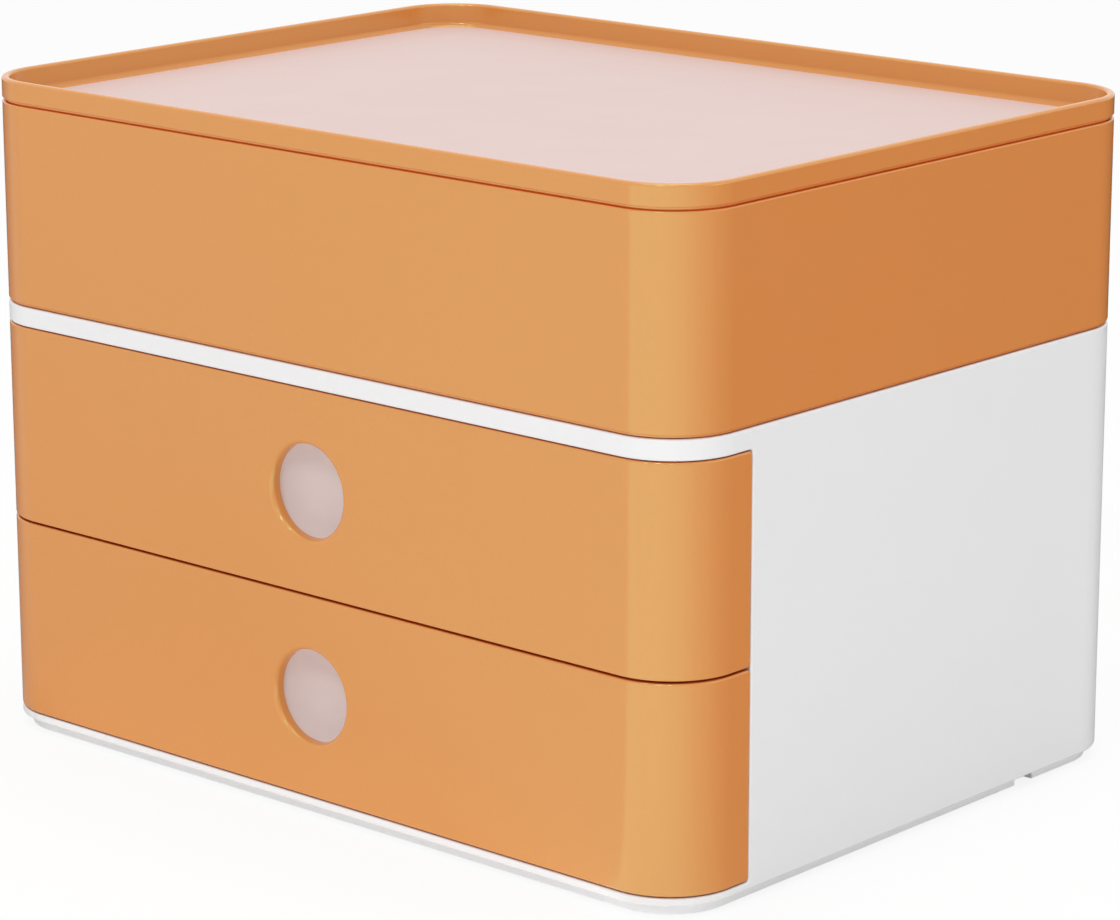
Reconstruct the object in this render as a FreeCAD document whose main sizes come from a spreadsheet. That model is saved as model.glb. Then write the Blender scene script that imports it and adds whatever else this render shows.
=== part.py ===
import FreeCAD, Part
import math
import os

import Sketcher
from FreeCAD import Rotation, Vector

# Desktop drawer box: a white casing with two drawers, and an orange organiser box with a
# tray lid stacked on its top. X runs to the right along the front, Y to the back, Z up.
# The origin lies on the surface the box stands on, under the middle of its outline.

document = FreeCAD.newDocument("DrawerBox")

# Driving sizes in millimetres, each written once.
drivingSizes = {
    # outline shared by every layer of the stack
    "width": 260.0,
    "depth": 195.0,
    "corner_radius": 20.0,
    # rubber feet
    "foot_proud": 0.4,
    "foot_socket": 1.6,
    "foot_radius": 6.0,
    "foot_inset": 16.0,
    "foot_clearance": 0.15,
    "foot_round": 0.3,
    # base plate, whose edge is the recessed plinth
    "plinth_height": 3.1,
    "plinth_inset": 3.0,
    "plinth_ring": 20.0,
    "plinth_hollow": 2.1,
    "hollow_radius": 8.0,
    "notch_start": 147.3,
    "notch_width": 8.0,
    "notch_depth": 9.0,
    "peg_radius": 2.0,
    "peg_height": 1.5,
    "peg_inset": 30.0,
    "peg_clearance": 0.1,
    # casing
    "floor_thickness": 2.1,
    "side_wall": 2.5,
    "back_wall": 2.5,
    "side_setback": 27.9,
    "band_height": 5.6,
    "band_wall": 3.5,
    "deck_thickness": 2.2,
    "stack_depth": 2.1,
    "stack_clearance": 0.4,
    "opening_round": 1.0,
    "casing_round": 0.6,
    # running gaps round the drawers
    "drawer_lift": 0.35,
    "drawer_gap": 0.55,
    "deck_gap": 0.25,
    "wing_gap": 0.2,
    "glide_gap": 0.2,
    # drawer front
    "front_height": 56.45,
    "front_wall": 3.0,
    "front_round": 0.6,
    "wing_round": 1.2,
    "grip_radius": 13.0,
    "grip_round": 1.5,
    # drawer tray
    "tray_raise": 0.4,
    "tray_drop": 3.4,
    "tray_wall": 1.8,
    "tray_floor": 1.8,
    "tray_side_gap": 1.0,
    "tray_back_gap": 1.5,
    "tray_round": 3.0,
    # hooks that hold the front on the tray
    "hook_place": 75.0,
    "hook_width": 8.0,
    "hook_thickness": 2.0,
    "hook_barb": 0.8,
    "hook_barb_length": 1.6,
    "hook_clearance": 0.15,
    # grip cup behind the hole in the front
    "cup_radius": 13.7,
    "cup_depth": 11.5,
    "cup_wall": 1.5,
    "cup_flange": 2.3,
    "cup_flange_thickness": 1.5,
    "cup_clearance": 0.1,
    # drawer shelf, runners and stops
    "shelf_thickness": 1.8,
    "shelf_margin": 0.3,
    "shelf_tongue": 1.0,
    "shelf_clearance": 0.1,
    "runner_place": 90.0,
    "runner_width": 3.0,
    "stop_width": 36.0,
    "stop_height": 1.6,
    "stop_thickness": 2.0,
    "stop_place": 62.0,
    "stop_gap": 0.6,
    # stepped lower edge of the organiser box and of the lid, just above each seam
    "seam_step": 0.55,
    "seam_height": 0.7,
    "seam_round": 0.15,
    # organiser box
    "box_gap": 0.3,
    "box_height": 56.7,
    "box_wall": 2.2,
    "box_floor": 2.0,
    "box_ring": 2.0,
    "box_inner_round": 3.0,
    "ledge_depth": 3.0,
    "lip_wall": 1.0,
    # tray lid and its liner
    "lid_gap": 0.35,
    "lid_clearance": 0.25,
    "lid_floor": 2.3,
    "rim_height": 6.4,
    "rim_wall": 2.2,
    "rim_round": 0.8,
    "lid_inner_round": 2.0,
    "liner_thickness": 0.6,
    "liner_margin": 0.3,
}

# Places worked out from the driving sizes. Levels are heights above the standing surface,
# or above the lower edge of their own piece where the name says so.
workedOut = {
    "half_width": "Sizes.width / 2",
    "half_depth": "Sizes.depth / 2",
    # levels of the stack
    "plinth_bottom": "Sizes.foot_proud",
    "casing_bottom": "plinth_bottom + Sizes.plinth_height",
    "casing_floor": "casing_bottom + Sizes.floor_thickness",
    "lower_drawer": "casing_floor + Sizes.drawer_lift",
    "upper_drawer": "lower_drawer + Sizes.front_height + Sizes.drawer_gap",
    "band_bottom": "upper_drawer + Sizes.front_height + Sizes.deck_gap",
    "casing_top": "band_bottom + Sizes.band_height",
    "stack_level": "casing_top - Sizes.stack_depth",
    "deck_underside": "stack_level - Sizes.deck_thickness",
    "box_bottom": "casing_top + Sizes.box_gap",
    "box_top": "box_bottom + Sizes.box_height",
    "ledge_level": "box_top - Sizes.ledge_depth",
    "lid_bottom": "box_top + Sizes.lid_gap",
    # plan lines of the casing and its bay
    "side_front": "Sizes.side_setback - half_depth",
    "bay_half": "half_width - Sizes.side_wall",
    "bay_front": "Sizes.band_wall - half_depth",
    "bay_rear": "half_depth - Sizes.back_wall",
    "bay_radius": "Sizes.corner_radius - Sizes.side_wall",
    # drawer tray, above the lower edge of the drawer front
    "tray_half": "bay_half - Sizes.tray_side_gap",
    "tray_front": "Sizes.front_wall - half_depth",
    "tray_rear": "bay_rear - Sizes.tray_back_gap",
    "tray_radius": "bay_radius - Sizes.tray_side_gap",
    "tray_top": "Sizes.front_height - Sizes.tray_drop",
    "tray_height": "tray_top - Sizes.tray_raise",
    "grip_level": "Sizes.front_height / 2",
    # shelf, runners and stops
    "shelf_top": "upper_drawer - Sizes.drawer_lift",
    "shelf_bottom": "shelf_top - Sizes.shelf_thickness",
    "runner_height": "Sizes.drawer_lift + Sizes.tray_raise - Sizes.glide_gap",
    "stop_front": "Sizes.stop_place - half_depth",
    "stop_rear": "stop_front + Sizes.stop_thickness",
    "lower_stop": "lower_drawer + tray_top + Sizes.stop_gap",
    "upper_stop": "upper_drawer + tray_top + Sizes.stop_gap",
    # lid tray, above the underside of the lid
    "lid_plate": "Sizes.ledge_depth + Sizes.lid_gap",
    "lid_skirt": "Sizes.lip_wall + Sizes.lid_clearance",
    "lid_tray": "Sizes.lid_floor - lid_plate",
}


def fillSheet(name, cells):
    # One sheet row per value: its name, the value or formula, and the alias that features use.
    sheet = document.addObject("Spreadsheet::Sheet", name)
    for row, (alias, content) in enumerate(cells.items(), start=1):
        sheet.set(f"A{row}", alias)
        sheet.set(f"B{row}", content)
        sheet.setAlias(f"B{row}", alias)
    document.recompute()
    return sheet


sizes = fillSheet("Sizes", {alias: str(value) for alias, value in drivingSizes.items()})
places = fillSheet("Places", {alias: f"={formula}" for alias, formula in workedOut.items()})

# A length used only to carry a cut clear of the solid it opens, and the tolerance with
# which edges are picked by their place.
overrun = 1.0
pickTolerance = 0.02


def number(expression):
    return float(places.evalExpression(expression))


def newBody(label):
    body = document.addObject("PartDesign::Body", label)
    body.Label = label
    return body


def newSketch(body, name, role, level):
    # The sketch lies on one of the body's own planes, moved along the plane's normal.
    sketch = body.newObject("Sketcher::SketchObject", name)
    plane = next(f for f in body.Origin.OriginFeatures if f.Role == role)
    sketch.AttachmentSupport = (plane, [""])
    sketch.MapMode = "FlatFace"
    sketch.setExpression("AttachmentOffset.Base.z", level)
    return sketch


def placeVertex(sketch, geometry, vertex, axis, expression):
    # Holds one coordinate of a vertex at a signed distance from the sketch origin.
    constraint = Sketcher.Constraint(f"Distance{axis}", -1, 1, geometry, vertex, number(expression))
    index = sketch.addConstraint(constraint)
    sketch.setExpression(f"Constraints[{index}]", expression)


def rectangle(body, name, level, left, right, front, rear, role="XY_Plane"):
    sketch = newSketch(body, name, role, level)
    x0, x1, y0, y1 = [number(side) for side in (left, right, front, rear)]
    corners = [Vector(x0, y0, 0), Vector(x1, y0, 0), Vector(x1, y1, 0), Vector(x0, y1, 0)]
    for index in range(4):
        sketch.addGeometry(Part.LineSegment(corners[index], corners[(index + 1) % 4]), False)
    for index in range(4):
        sketch.addConstraint(Sketcher.Constraint("Coincident", index, 2, (index + 1) % 4, 1))
    for index, direction in enumerate(("Horizontal", "Vertical", "Horizontal", "Vertical")):
        sketch.addConstraint(Sketcher.Constraint(direction, index))
    placeVertex(sketch, 0, 1, "X", left)
    placeVertex(sketch, 0, 1, "Y", front)
    placeVertex(sketch, 2, 1, "X", right)
    placeVertex(sketch, 2, 1, "Y", rear)
    return sketch


def roundedRectangle(body, name, level, left, right, front, rear, radius):
    # Four corner arcs, counter-clockwise from the front right, then the four sides.
    sketch = newSketch(body, name, "XY_Plane", level)
    x0, x1, y0, y1, r = [number(value) for value in (left, right, front, rear, radius)]
    centres = ((x1 - r, y0 + r), (x1 - r, y1 - r), (x0 + r, y1 - r), (x0 + r, y0 + r))
    for index, (x, y) in enumerate(centres):
        start = math.radians(90 * index - 90)
        circle = Part.Circle(Vector(x, y, 0), Vector(0, 0, 1), r)
        sketch.addGeometry(Part.ArcOfCircle(circle, start, start + math.pi / 2), False)
    for index in range(4):
        begin = sketch.Geometry[index].EndPoint
        end = sketch.Geometry[(index + 1) % 4].StartPoint
        sketch.addGeometry(Part.LineSegment(begin, end), False)
    for index in range(4):
        sketch.addConstraint(Sketcher.Constraint("Tangent", index, 2, 4 + index, 1))
        sketch.addConstraint(Sketcher.Constraint("Tangent", 4 + index, 2, (index + 1) % 4, 1))
    for index, direction in enumerate(("Vertical", "Horizontal", "Vertical", "Horizontal")):
        sketch.addConstraint(Sketcher.Constraint(direction, 4 + index))
    for index in range(1, 4):
        sketch.addConstraint(Sketcher.Constraint("Equal", 0, index))
    index = sketch.addConstraint(Sketcher.Constraint("Radius", 0, r))
    sketch.setExpression(f"Constraints[{index}]", radius)
    placeVertex(sketch, 4, 1, "X", right)
    placeVertex(sketch, 5, 1, "Y", rear)
    placeVertex(sketch, 6, 1, "X", left)
    placeVertex(sketch, 7, 1, "Y", front)
    return sketch


def layerOutline(body, name, level, inset):
    # The outline of the stack, drawn in by the same distance on every side.
    return roundedRectangle(body, name, level,
                            f"{inset} - Places.half_width", f"Places.half_width - ({inset})",
                            f"{inset} - Places.half_depth", f"Places.half_depth - ({inset})",
                            f"Sizes.corner_radius - ({inset})")


def circles(body, name, level, centres, radius, role="XY_Plane"):
    sketch = newSketch(body, name, role, level)
    for index, (x, y) in enumerate(centres):
        centre = Vector(number(x), number(y), 0)
        sketch.addGeometry(Part.Circle(centre, Vector(0, 0, 1), number(radius)), False)
        constraint = sketch.addConstraint(Sketcher.Constraint("Radius", index, number(radius)))
        sketch.setExpression(f"Constraints[{constraint}]", radius)
        placeVertex(sketch, index, 3, "X", x)
        placeVertex(sketch, index, 3, "Y", y)
    return sketch


def pad(body, sketch, length):
    feature = body.newObject("PartDesign::Pad", f"{sketch.Name}Pad")
    feature.Profile = sketch
    feature.setExpression("Length", length)
    sketch.Visibility = False
    document.recompute()
    return feature


def pocket(body, sketch, depth):
    # Cuts against the sketch normal: down from a level sketch, backwards from an upright one.
    before = body.Shape.Volume
    feature = body.newObject("PartDesign::Pocket", f"{sketch.Name}Pocket")
    feature.Profile = sketch
    feature.setExpression("Length", depth)
    sketch.Visibility = False
    document.recompute()
    if body.Shape.Volume >= before:
        raise RuntimeError(f"{sketch.Name} in {body.Label} removes nothing")
    return feature


def middleOf(edge):
    return edge.valueAt((edge.FirstParameter + edge.LastParameter) / 2)


def isLevel(edge, level):
    box = edge.BoundBox
    return abs(box.ZMin - level) < pickTolerance and abs(box.ZMax - level) < pickTolerance


def followsOutline(edge, inset):
    # Signed distance from the stack's outline, measured in plan at the middle of the edge.
    radius = number("Sizes.corner_radius")
    point = middleOf(edge)
    x = abs(point.x) - number("Places.half_width") + radius
    y = abs(point.y) - number("Places.half_depth") + radius
    outside = math.hypot(max(x, 0), max(y, 0)) + min(max(x, y), 0) - radius
    return abs(outside + inset) < pickTolerance


def roundEdges(body, name, radius, wanted):
    base = body.Tip
    picked = [f"Edge{index}" for index, edge in enumerate(base.Shape.Edges, start=1)
              if wanted(edge)]
    if not picked:
        raise RuntimeError(f"{name} in {body.Label} finds no edge")
    fillet = body.newObject("PartDesign::Fillet", f"{body.Label}_{name}")
    fillet.Base = (base, picked)
    fillet.setExpression("Radius", radius)
    document.recompute()
    if not fillet.isValid():
        raise RuntimeError(f"{name} in {body.Label} fails")
    return fillet


def raiseTo(body, level):
    body.setExpression("Placement.Base.z", level)


def stopRib(body, name, top, bottom):
    # A short cross rib hanging from the plate above a tray, which its stop tab meets.
    rib = rectangle(body, name, bottom, "-Sizes.stop_width / 2", "Sizes.stop_width / 2",
                    "Places.stop_front", "Places.stop_rear")
    pad(body, rib, f"{top} - ({bottom})")


def runners(body, name, level):
    # Two low ribs along the bay, under the tray that slides over them.
    for side, sign in (("Left", "-"), ("Right", "")):
        middle = f"{sign}Sizes.runner_place"
        rib = rectangle(body, f"{name}{side}", level,
                        f"{middle} - Sizes.runner_width / 2", f"{middle} + Sizes.runner_width / 2",
                        "Places.side_front + Sizes.wing_gap", "Places.bay_rear - Sizes.shelf_margin")
        pad(body, rib, "Places.runner_height")


def pegCentres():
    x = "(Places.half_width - Sizes.peg_inset)"
    y = "(Places.half_depth - Sizes.peg_inset)"
    return [(f"{a}{x}", f"{b}{y}") for a in ("-", "") for b in ("-", "")]


def makeCasing():
    # Floor, sides, back and stacking deck in one moulding. The sides stop short of the
    # front, where the drawer fronts wrap round the corners.
    body = newBody("casing")
    pad(body, layerOutline(body, "CasingBlock", "Places.casing_bottom", "0"),
        "Places.casing_top - Places.casing_bottom")
    bay = roundedRectangle(body, "Bay", "Places.deck_underside",
                           "-Places.bay_half", "Places.bay_half",
                           "Places.bay_front", "Places.bay_rear", "Places.bay_radius")
    pocket(body, bay, "Places.deck_underside - Places.casing_floor")
    reach = f"Places.half_width + {overrun}"
    opening = rectangle(body, "FrontOpening", "Places.band_bottom", f"-({reach})", reach,
                        f"-Places.half_depth - {overrun}", "Places.side_front")
    pocket(body, opening, "Places.band_bottom - Places.casing_floor")
    sideFront = number("Places.side_front")
    corners = (number("Places.casing_floor"), number("Places.band_bottom"))
    roundEdges(body, "opening_corners", "Sizes.opening_round",
               lambda edge: abs(middleOf(edge).y - sideFront) < pickTolerance
               and any(isLevel(edge, level) for level in corners))
    reachBack = sideFront + number("Sizes.opening_round")
    roundEdges(body, "opening_edges", "Sizes.casing_round",
               lambda edge: followsOutline(edge, 0) and middleOf(edge).y < reachBack
               and corners[0] - pickTolerance < middleOf(edge).z < corners[1] + pickTolerance)
    pocket(body, layerOutline(body, "StackRecess", "Places.casing_top",
                              "(Sizes.plinth_inset - Sizes.stack_clearance)"), "Sizes.stack_depth")
    roundEdges(body, "outer_edges", "Sizes.casing_round",
               lambda edge: followsOutline(edge, 0)
               and any(isLevel(edge, number(f"Places.{level}"))
                       for level in ("casing_bottom", "casing_top")))
    groove = "Places.bay_half + Sizes.shelf_tongue"
    tongueSlot = rectangle(body, "ShelfSlot", "Places.shelf_top + Sizes.shelf_clearance",
                           f"-({groove})", groove, "Places.side_front",
                           "Places.half_depth - Sizes.corner_radius")
    pocket(body, tongueSlot, "Sizes.shelf_thickness + 2 * Sizes.shelf_clearance")
    runners(body, "FloorRunner", "Places.casing_floor")
    stopRib(body, "DeckStop", "Places.deck_underside", "Places.upper_stop")
    pocket(body, circles(body, "PegHoles", "Places.casing_bottom + Sizes.peg_height",
                         pegCentres(), "Sizes.peg_radius + Sizes.peg_clearance"),
           "Sizes.peg_height")
    return body


def makeShelf():
    # Plate between the two bays: it slides into slots in the side walls.
    body = newBody("drawer_shelf")
    edge = "Places.bay_half - Sizes.shelf_margin"
    front = "Places.side_front + Sizes.wing_gap"
    plate = roundedRectangle(body, "ShelfPlate", "Places.shelf_bottom", f"-({edge})", edge, front,
                             "Places.bay_rear - Sizes.shelf_margin",
                             "Places.bay_radius - Sizes.shelf_margin")
    pad(body, plate, "Sizes.shelf_thickness")
    tongue = "Places.bay_half + Sizes.shelf_tongue - Sizes.shelf_clearance"
    tongues = rectangle(body, "ShelfTongues", "Places.shelf_bottom", f"-({tongue})", tongue, front,
                        "Places.half_depth - Sizes.corner_radius - Sizes.shelf_margin")
    pad(body, tongues, "Sizes.shelf_thickness")
    runners(body, "ShelfRunner", "Places.shelf_top")
    stopRib(body, "ShelfStop", "Places.shelf_bottom", "Places.lower_stop")
    return body


def makeBasePlate():
    # Closes the underside. Its edge is the recessed plinth, notched near the back on both sides.
    body = newBody("base_plate")
    pad(body, layerOutline(body, "Plinth", "Places.plinth_bottom", "Sizes.plinth_inset"),
        "Sizes.plinth_height")
    across = "(Places.half_width - Sizes.plinth_inset - Sizes.plinth_ring)"
    along = "(Places.half_depth - Sizes.plinth_inset - Sizes.plinth_ring)"
    hollow = roundedRectangle(body, "PlinthHollow", "Places.plinth_bottom + Sizes.plinth_hollow",
                              f"-{across}", across, f"-{along}", along, "Sizes.hollow_radius")
    pocket(body, hollow, "Sizes.plinth_hollow")
    outer = f"Places.half_width + {overrun}"
    inner = "Places.half_width - Sizes.plinth_inset - Sizes.notch_depth"
    for side, left, right in (("Left", f"-({outer})", f"-({inner})"), ("Right", inner, outer)):
        notch = rectangle(body, f"Notch{side}", "Places.casing_bottom", left, right,
                          "Sizes.notch_start - Places.half_depth",
                          "Sizes.notch_start + Sizes.notch_width - Places.half_depth")
        pocket(body, notch, "Sizes.plinth_height")
    pad(body, circles(body, "Pegs", "Places.casing_bottom", pegCentres(), "Sizes.peg_radius"),
        "Sizes.peg_height")
    pocket(body, circles(body, "FootSockets", "Places.plinth_bottom + Sizes.foot_socket",
                         [centre for _, centre in footCentres()],
                         "Sizes.foot_radius + Sizes.foot_clearance"), "Sizes.foot_socket")
    return body


def footCentres():
    x = "(Places.half_width - Sizes.foot_inset)"
    y = "(Places.half_depth - Sizes.foot_inset)"
    return [(f"foot_{depth}_{side}", (f"{across}{x}", f"{along}{y}"))
            for depth, along in (("front", "-"), ("rear", ""))
            for side, across in (("left", "-"), ("right", ""))]


def makeFoot(label, centre):
    body = newBody(label)
    pad(body, circles(body, f"{label}_disc", "0", [centre], "Sizes.foot_radius"),
        "Sizes.foot_proud + Sizes.foot_socket")
    roundEdges(body, "edge", "Sizes.foot_round", lambda edge: isLevel(edge, 0))
    return body


def makeDrawerFront(label, level):
    # A thin shell that wraps round both front corners, with a round grip hole in the middle.
    body = newBody(label)
    pad(body, layerOutline(body, f"{label}_block", "0", "0"), "Sizes.front_height")
    pocket(body, layerOutline(body, f"{label}_inside", "Sizes.front_height", "Sizes.front_wall"),
           "Sizes.front_height")
    reach = f"Places.half_width + {overrun}"
    rear = rectangle(body, f"{label}_rear", "Sizes.front_height", f"-({reach})", reach,
                     "Places.side_front - Sizes.wing_gap", f"Places.half_depth + {overrun}")
    pocket(body, rear, "Sizes.front_height")
    wingRear = number("Places.side_front - Sizes.wing_gap")
    ends = (0, number("Sizes.front_height"))
    roundEdges(body, "wing_corners", "Sizes.wing_round",
               lambda edge: abs(middleOf(edge).y - wingRear) < pickTolerance
               and any(isLevel(edge, end) for end in ends))
    roundEdges(body, "outer_edges", "Sizes.front_round",
               lambda edge: followsOutline(edge, 0) and any(isLevel(edge, end) for end in ends))
    hole = circles(body, f"{label}_hole", "Places.half_depth", [("0", "Places.grip_level")],
                   "Sizes.grip_radius", "XZ_Plane")
    pocket(body, hole, "Sizes.front_wall")
    face = number("-Places.half_depth")
    roundEdges(body, "grip_lip", "Sizes.grip_round",
               lambda edge: abs(edge.BoundBox.YMin - face) < pickTolerance
               and abs(edge.BoundBox.YMax - face) < pickTolerance
               and abs(edge.BoundBox.XLength - 2 * number("Sizes.grip_radius")) < pickTolerance)
    for side, sign in (("left", "-"), ("right", "")):
        makeHook(body, f"{label}_hook_{side}", f"{sign}Sizes.hook_place")
    raiseTo(body, level)
    return body


def makeHook(body, name, middle):
    # A tongue through the tray's front wall, with a barb that catches behind the wall.
    left = f"{middle} - Sizes.hook_width / 2"
    right = f"{middle} + Sizes.hook_width / 2"
    low = "Places.grip_level - Sizes.hook_thickness / 2"
    barbFront = "Places.tray_front + Sizes.tray_wall + Sizes.hook_clearance"
    barbRear = f"{barbFront} + Sizes.hook_barb_length"
    tongue = rectangle(body, f"{name}_tongue", low, left, right,
                       "Places.tray_front - Sizes.front_wall / 2", barbRear)
    pad(body, tongue, "Sizes.hook_thickness")
    barb = rectangle(body, f"{name}_barb", low, left, right, barbFront, barbRear)
    pad(body, barb, "Sizes.hook_thickness + Sizes.hook_barb")


def makeTray(label, level):
    body = newBody(label)
    bottom = "Sizes.tray_raise"
    block = roundedRectangle(body, f"{label}_block", bottom, "-Places.tray_half", "Places.tray_half",
                             "Places.tray_front", "Places.tray_rear", "Places.tray_radius")
    pad(body, block, "Places.tray_height")
    under = number(bottom)
    roundEdges(body, "bottom_edges", "Sizes.tray_wall / 2", lambda edge: isLevel(edge, under))
    half = "Places.tray_half - Sizes.tray_wall"
    inside = roundedRectangle(body, f"{label}_inside", "Places.tray_top", f"-({half})", half,
                              "Places.tray_front + Sizes.tray_wall",
                              "Places.tray_rear - Sizes.tray_wall",
                              "Places.tray_radius - Sizes.tray_wall")
    pocket(body, inside, "Places.tray_height - Sizes.tray_floor")
    floor = number(f"{bottom} + Sizes.tray_floor")
    roundEdges(body, "inside_edges", "Sizes.tray_round", lambda edge: isLevel(edge, floor))
    tab = rectangle(body, f"{label}_stop", "Places.tray_top", "-Sizes.stop_width / 2",
                    "Sizes.stop_width / 2", "Places.tray_rear - Sizes.tray_wall",
                    "Places.tray_rear")
    pad(body, tab, "Sizes.stop_height")
    collar = "Sizes.cup_radius + Sizes.cup_wall + Sizes.cup_clearance"
    hole = circles(body, f"{label}_cup_hole", "-Places.tray_front", [("0", "Places.grip_level")],
                   collar, "XZ_Plane")
    pocket(body, hole, "Sizes.tray_wall")
    for side, sign in (("left", "-"), ("right", "")):
        middle = f"{sign}Sizes.hook_place"
        reach = "(Sizes.hook_width / 2 + Sizes.hook_clearance)"
        slot = rectangle(body, f"{label}_slot_{side}", "-Places.tray_front",
                         f"{middle} - {reach}", f"{middle} + {reach}",
                         "Places.grip_level - Sizes.hook_thickness / 2 - Sizes.hook_clearance",
                         "Places.grip_level + Sizes.hook_thickness / 2 + Sizes.hook_barb"
                         " + Sizes.hook_clearance", "XZ_Plane")
        pocket(body, slot, "Sizes.tray_wall")
    raiseTo(body, level)
    return body


def makeGripCup(label, level):
    # Spherical dish turned about the grip's axis, held by a flange behind the tray's wall.
    # In the sketch, across is the radius and up is the depth behind the drawer front.
    body = newBody(label)
    sketch = newSketch(body, f"{label}_profile", "XY_Plane", "0")
    radius, depth, wall = [number(f"Sizes.cup_{name}") for name in ("radius", "depth", "wall")]
    sphere = (radius ** 2 + depth ** 2) / (2 * depth)
    centre = Vector(0, depth - sphere, 0)
    flangeFront = number("Sizes.tray_wall")
    flangeRear = flangeFront + number("Sizes.cup_flange_thickness")
    outer = sphere + wall
    shoulder = math.sqrt(outer ** 2 - (flangeRear - centre.y) ** 2)
    collar = radius + wall
    flange = collar + number("Sizes.cup_flange")
    corners = ((0, depth + wall), (0, depth), (radius, 0), (collar, 0), (collar, flangeFront),
               (flange, flangeFront), (flange, flangeRear), (shoulder, flangeRear))
    points = [Vector(across, up, 0) for across, up in corners]
    dish = Part.Circle(centre, Vector(0, 0, 1), sphere)
    dome = Part.Circle(centre, Vector(0, 0, 1), outer)
    sketch.addGeometry(Part.LineSegment(points[0], points[1]), False)
    sketch.addGeometry(Part.ArcOfCircle(dish, math.atan2(-centre.y, radius), math.pi / 2), False)
    for index in range(2, 7):
        sketch.addGeometry(Part.LineSegment(points[index], points[index + 1]), False)
    shoulderAngle = math.atan2(flangeRear - centre.y, shoulder)
    sketch.addGeometry(Part.ArcOfCircle(dome, shoulderAngle, math.pi / 2), False)
    joints = ((0, 2, 1, 2), (1, 1, 2, 1), (2, 2, 3, 1), (3, 2, 4, 1), (4, 2, 5, 1), (5, 2, 6, 1),
              (6, 2, 7, 1), (7, 2, 0, 1))
    for joint in joints:
        sketch.addConstraint(Sketcher.Constraint("Coincident", *joint))
    sketch.addConstraint(Sketcher.Constraint("Coincident", 1, 3, 7, 3))
    placeVertex(sketch, 1, 3, "X", "0")
    placeVertex(sketch, 0, 1, "X", "0")
    placeVertex(sketch, 0, 2, "X", "0")
    placeVertex(sketch, 0, 2, "Y", "Sizes.cup_depth")
    placeVertex(sketch, 0, 1, "Y", "Sizes.cup_depth + Sizes.cup_wall")
    placeVertex(sketch, 2, 1, "X", "Sizes.cup_radius")
    placeVertex(sketch, 2, 1, "Y", "0")
    placeVertex(sketch, 3, 1, "X", "Sizes.cup_radius + Sizes.cup_wall")
    placeVertex(sketch, 3, 1, "Y", "0")
    for geometry in (3, 5):
        sketch.addConstraint(Sketcher.Constraint("Vertical", geometry))
    for geometry in (4, 6):
        sketch.addConstraint(Sketcher.Constraint("Horizontal", geometry))
    placeVertex(sketch, 4, 1, "Y", "Sizes.tray_wall")
    placeVertex(sketch, 5, 1, "X", "Sizes.cup_radius + Sizes.cup_wall + Sizes.cup_flange")
    placeVertex(sketch, 6, 1, "Y", "Sizes.tray_wall + Sizes.cup_flange_thickness")
    turned = body.newObject("PartDesign::Revolution", f"{label}_turned")
    turned.Profile = sketch
    turned.ReferenceAxis = (sketch, ["V_Axis"])
    turned.Angle = 360
    body.setExpression("Placement.Base.y", "Places.tray_front")
    raiseTo(body, f"{level} + Places.grip_level")
    document.recompute()
    return body


def steppedBlock(body, name, height):
    # A block on the outline of the stack whose lowest part is drawn in by a small step.
    pad(body, layerOutline(body, f"{name}Step", "0", "Sizes.seam_step"), "Sizes.seam_height")
    pad(body, layerOutline(body, name, "Sizes.seam_height", "0"),
        f"{height} - Sizes.seam_height")
    step = number("Sizes.seam_height")
    roundEdges(body, "seam_edges", "Sizes.seam_round",
               lambda edge: isLevel(edge, 0) or (isLevel(edge, step) and followsOutline(edge, 0)))


def makeOrganiserBox():
    # Open box with a stacking ring under its floor and a ledge inside its top edge.
    body = newBody("organiser_box")
    steppedBlock(body, "BoxBlock", "Sizes.box_height")
    top = number("Sizes.box_height")
    roundEdges(body, "top_edges", "Sizes.lip_wall / 2", lambda edge: isLevel(edge, top))
    pocket(body, layerOutline(body, "BoxInside", "Sizes.box_height", "Sizes.box_wall"),
           "Sizes.box_height - Sizes.box_floor")
    floor = number("Sizes.box_floor")
    roundEdges(body, "inside_edges", "Sizes.box_inner_round", lambda edge: isLevel(edge, floor))
    pocket(body, layerOutline(body, "BoxLedge", "Sizes.box_height", "Sizes.lip_wall"),
           "Sizes.ledge_depth")
    drop = "(Sizes.box_gap + Sizes.stack_depth)"
    pad(body, layerOutline(body, "BoxRing", f"-{drop}", "Sizes.plinth_inset"), drop)
    pocket(body, layerOutline(body, "BoxHollow", "0", "(Sizes.plinth_inset + Sizes.box_ring)"),
           drop)
    raiseTo(body, "Places.box_bottom")
    return body


def makeLid():
    # Shallow tray: its rim stands on the outline of the stack and its floor drops inside
    # the organiser box, where it rests on the ledge.
    body = newBody("lid")
    steppedBlock(body, "Rim", "Sizes.rim_height")
    pad(body, layerOutline(body, "Skirt", "-Places.lid_plate", "Places.lid_skirt"),
        "Places.lid_plate")
    pocket(body, layerOutline(body, "LidTray", "Sizes.rim_height", "Sizes.rim_wall"),
           "Sizes.rim_height - Places.lid_tray")
    floor = number("Places.lid_tray")
    roundEdges(body, "inside_edges", "Sizes.lid_inner_round", lambda edge: isLevel(edge, floor))
    top = number("Sizes.rim_height")
    roundEdges(body, "top_edges", "Sizes.rim_round", lambda edge: isLevel(edge, top))
    raiseTo(body, "Places.lid_bottom")
    return body


def makeLiner():
    # Thin pale sheet that lies on the flat floor of the lid.
    body = newBody("lid_liner")
    inset = "(Sizes.rim_wall + Sizes.lid_inner_round + Sizes.liner_margin)"
    pad(body, layerOutline(body, "Liner", "Places.lid_tray", inset), "Sizes.liner_thickness")
    raiseTo(body, "Places.lid_bottom")
    return body


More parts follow.
